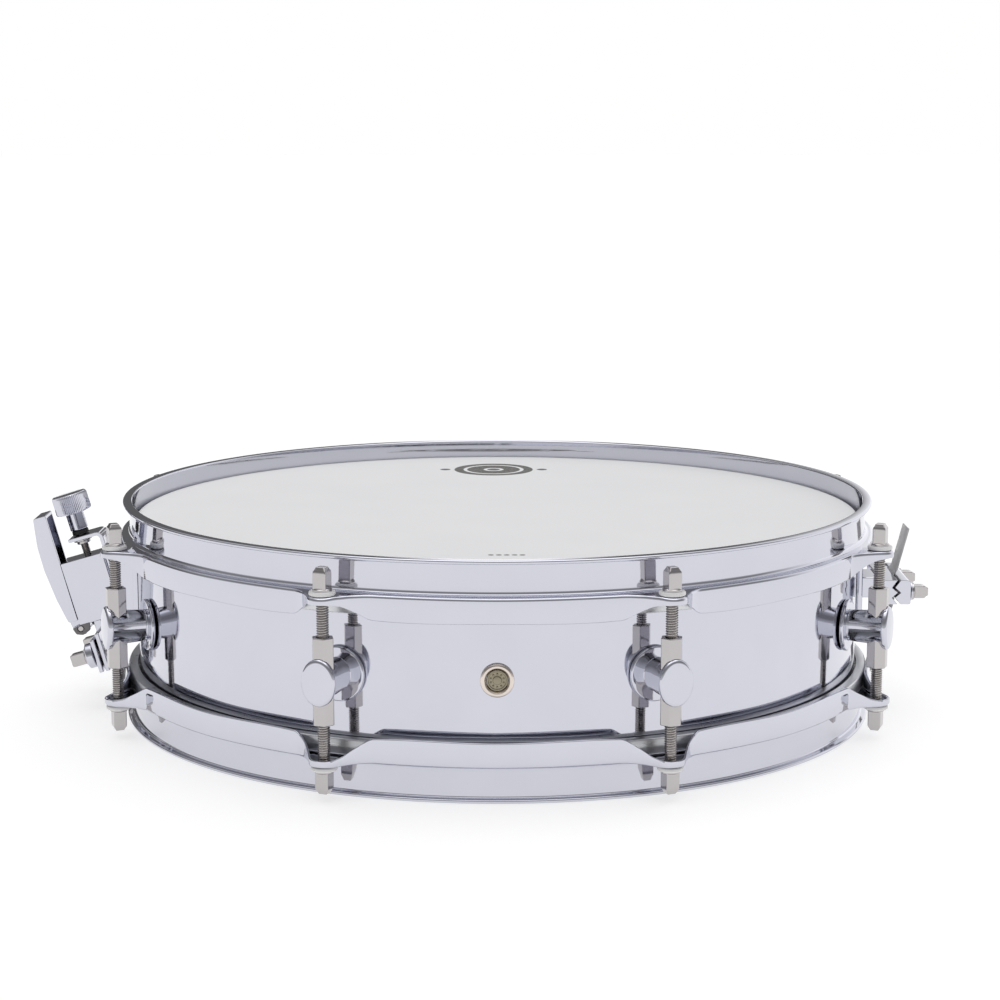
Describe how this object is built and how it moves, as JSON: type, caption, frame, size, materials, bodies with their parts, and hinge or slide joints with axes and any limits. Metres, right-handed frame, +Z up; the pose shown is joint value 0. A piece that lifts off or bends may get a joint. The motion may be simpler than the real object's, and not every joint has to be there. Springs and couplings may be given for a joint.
{
  "type": "piccolo snare drum",
  "caption": "Shallow chrome-plated steel snare drum: triple-flanged hoops, double-ended tube lugs, coated batter head, snare wires, lever throw-off strainer and butt plate.",
  "frame": {"origin": "on the shell's axis, in the plane of the bottom hoop's rim, where the drum stands", "axes": "+Z up through the batter head; -Y towards the badge (front); +X towards the butt plate, -X towards the strainer"},
  "size_m": [0.4399, 0.3722, 0.1061],
  "materials": {
    "chrome_plate": "mirror-polished chrome plate",
    "nickel_plate": "bright nickel plate, slightly warmer and softer than the chrome",
    "coated_film": "white sprayed coating on polyester film, matt",
    "clear_film": "thin clear polyester film",
    "alloy": "plain mill finish",
    "brass_badge": "satin, darkened",
    "grommet": "bright, faintly warm",
    "rubber": "black, matt",
    "strap_plastic": "translucent grey-white strap",
    "snare_wire": "drawn steel wire"
  },
  "bodies": {
    "drum": {"shell": "chrome_plate", "top_hoop": "chrome_plate", "bottom_hoop": "chrome_plate", "batter_head": "coated_film", "batter_flesh_hoop": "alloy", "snare_side_head": "clear_film", "snare_side_flesh_hoop": "alloy", "lug_post_1": "chrome_plate", "lug_post_2": "chrome_plate", "lug_post_3": "chrome_plate", "lug_post_4": "chrome_plate", "lug_post_5": "chrome_plate", "lug_post_6": "chrome_plate", "lug_post_7": "chrome_plate", "lug_post_8": "chrome_plate", "lug_tube_1": "nickel_plate", "lug_tube_2": "nickel_plate", "lug_tube_3": "nickel_plate", "lug_tube_4": "nickel_plate", "lug_tube_5": "nickel_plate", "lug_tube_6": "nickel_plate", "lug_tube_7": "nickel_plate", "lug_tube_8": "nickel_plate", "badge_grommet": "grommet", "badge_medallion": "brass_badge", "strainer_bracket": "chrome_plate", "knob_washer": "rubber", "butt_base": "chrome_plate", "butt_jaw": "chrome_plate", "butt_strap": "strap_plastic"},
    "knob": {"tension_knob": "chrome_plate", "adjusting_rod": "nickel_plate", "adjusting_collar": "nickel_plate"},
    "carriage": {"strainer_housing": "chrome_plate", "lever_pin": "nickel_plate"},
    "lever": {"throw_lever": "chrome_plate"},
    "slider": {"strap_slider": "chrome_plate", "throw_clamp_plate": "chrome_plate"},
    "snares": {"snare_wires": "snare_wire", "throw_strap": "strap_plastic"},
    "throw_screw_1": {"throw_key_screw_1": "nickel_plate"},
    "butt_screw_1": {"butt_key_screw_1": "nickel_plate"},
    "throw_screw_2": {"throw_key_screw_2": "nickel_plate"},
    "butt_screw_2": {"butt_key_screw_2": "nickel_plate"},
    "rod_top_1": {"tension_rod_top_1": "nickel_plate"},
    "rod_bottom_1": {"tension_rod_bottom_1": "nickel_plate"},
    "rod_top_2": {"tension_rod_top_2": "nickel_plate"},
    "rod_bottom_2": {"tension_rod_bottom_2": "nickel_plate"},
    "rod_top_3": {"tension_rod_top_3": "nickel_plate"},
    "rod_bottom_3": {"tension_rod_bottom_3": "nickel_plate"},
    "rod_top_4": {"tension_rod_top_4": "nickel_plate"},
    "rod_bottom_4": {"tension_rod_bottom_4": "nickel_plate"},
    "rod_top_5": {"tension_rod_top_5": "nickel_plate"},
    "rod_bottom_5": {"tension_rod_bottom_5": "nickel_plate"},
    "rod_top_6": {"tension_rod_top_6": "nickel_plate"},
    "rod_bottom_6": {"tension_rod_bottom_6": "nickel_plate"},
    "rod_top_7": {"tension_rod_top_7": "nickel_plate"},
    "rod_bottom_7": {"tension_rod_bottom_7": "nickel_plate"},
    "rod_top_8": {"tension_rod_top_8": "nickel_plate"},
    "rod_bottom_8": {"tension_rod_bottom_8": "nickel_plate"}
  },
  "joints": [
    {"name": "knob_turn", "type": "hinge", "parent": "drum", "child": "knob", "pos_m": [-0.2065, 0, 0.08415], "axis": [-0.2756, 0, 0.9613], "range_deg": [-1080, 1080]},
    {"name": "carriage_slide", "type": "slide", "parent": "drum", "child": "carriage", "axis": [-0.2756, 0, 0.9613], "range_m": [-0.0021, 0.0021]},
    {"name": "lever_throw", "type": "hinge", "parent": "carriage", "child": "lever", "pos_m": [-0.2065, 0, 0.03734], "axis": [0, -1, 0], "range_deg": [0, 110]},
    {"name": "strap_slide", "type": "slide", "parent": "carriage", "child": "slider", "axis": [-0.2756, 0, 0.9613], "range_m": [-0.0033, 0], "deforming": ["throw_strap"]},
    {"name": "snare_drop", "type": "hinge", "parent": "drum", "child": "snares", "pos_m": [0.158, 0, 0.00785], "axis": [0, -1, 0], "range_deg": [0, 0.5]},
    {"name": "throw_screw_1_turn", "type": "hinge", "parent": "slider", "child": "throw_screw_1", "pos_m": [-0.19495, -0.018, 0.02754], "axis": [-0.9613, 0, -0.2756], "continuous": true},
    {"name": "throw_screw_2_turn", "type": "hinge", "parent": "slider", "child": "throw_screw_2", "pos_m": [-0.19495, 0.018, 0.02754], "axis": [-0.9613, 0, -0.2756], "continuous": true},
    {"name": "butt_screw_1_turn", "type": "hinge", "parent": "drum", "child": "butt_screw_1", "pos_m": [0.2035, -0.018, 0.05845], "axis": [1, 0, 0], "continuous": true},
    {"name": "butt_screw_2_turn", "type": "hinge", "parent": "drum", "child": "butt_screw_2", "pos_m": [0.2035, 0.018, 0.05845], "axis": [1, 0, 0], "continuous": true},
    {"name": "rod_top_1_turn", "type": "hinge", "parent": "drum", "child": "rod_top_1", "pos_m": [0.07367, -0.17785, 0.0905], "axis": [0, 0, 1], "continuous": true},
    {"name": "rod_top_2_turn", "type": "hinge", "parent": "drum", "child": "rod_top_2", "pos_m": [0.17785, -0.07367, 0.0905], "axis": [0, 0, 1], "continuous": true},
    {"name": "rod_top_3_turn", "type": "hinge", "parent": "drum", "child": "rod_top_3", "pos_m": [0.17785, 0.07367, 0.0905], "axis": [0, 0, 1], "continuous": true},
    {"name": "rod_top_4_turn", "type": "hinge", "parent": "drum", "child": "rod_top_4", "pos_m": [0.07367, 0.17785, 0.0905], "axis": [0, 0, 1], "continuous": true},
    {"name": "rod_top_5_turn", "type": "hinge", "parent": "drum", "child": "rod_top_5", "pos_m": [-0.07367, 0.17785, 0.0905], "axis": [0, 0, 1], "continuous": true},
    {"name": "rod_top_6_turn", "type": "hinge", "parent": "drum", "child": "rod_top_6", "pos_m": [-0.17785, 0.07367, 0.0905], "axis": [0, 0, 1], "continuous": true},
    {"name": "rod_top_7_turn", "type": "hinge", "parent": "drum", "child": "rod_top_7", "pos_m": [-0.17785, -0.07367, 0.0905], "axis": [0, 0, 1], "continuous": true},
    {"name": "rod_top_8_turn", "type": "hinge", "parent": "drum", "child": "rod_top_8", "pos_m": [-0.07367, -0.17785, 0.0905], "axis": [0, 0, 1], "continuous": true},
    {"name": "rod_bottom_1_turn", "type": "hinge", "parent": "drum", "child": "rod_bottom_1", "pos_m": [0.07367, -0.17785, 0.0148], "axis": [0, 0, -1], "continuous": true},
    {"name": "rod_bottom_2_turn", "type": "hinge", "parent": "drum", "child": "rod_bottom_2", "pos_m": [0.17785, -0.07367, 0.0148], "axis": [0, 0, -1], "continuous": true},
    {"name": "rod_bottom_3_turn", "type": "hinge", "parent": "drum", "child": "rod_bottom_3", "pos_m": [0.17785, 0.07367, 0.0148], "axis": [0, 0, -1], "continuous": true},
    {"name": "rod_bottom_4_turn", "type": "hinge", "parent": "drum", "child": "rod_bottom_4", "pos_m": [0.07367, 0.17785, 0.0148], "axis": [0, 0, -1], "continuous": true},
    {"name": "rod_bottom_5_turn", "type": "hinge", "parent": "drum", "child": "rod_bottom_5", "pos_m": [-0.07367, 0.17785, 0.0148], "axis": [0, 0, -1], "continuous": true},
    {"name": "rod_bottom_6_turn", "type": "hinge", "parent": "drum", "child": "rod_bottom_6", "pos_m": [-0.17785, 0.07367, 0.0148], "axis": [0, 0, -1], "continuous": true},
    {"name": "rod_bottom_7_turn", "type": "hinge", "parent": "drum", "child": "rod_bottom_7", "pos_m": [-0.17785, -0.07367, 0.0148], "axis": [0, 0, -1], "continuous": true},
    {"name": "rod_bottom_8_turn", "type": "hinge", "parent": "drum", "child": "rod_bottom_8", "pos_m": [-0.07367, -0.17785, 0.0148], "axis": [0, 0, -1], "continuous": true}
  ],
  "couplings": [
    {"joint": "knob_turn", "follows": "carriage_slide", "rad_per_m": -8975},
    {"joint": "strap_slide", "follows": "lever_throw", "m_per_rad": -0.0016668},
    {"joint": "snare_drop", "follows": "lever_throw", "ratio": 0.003959}
  ]
}
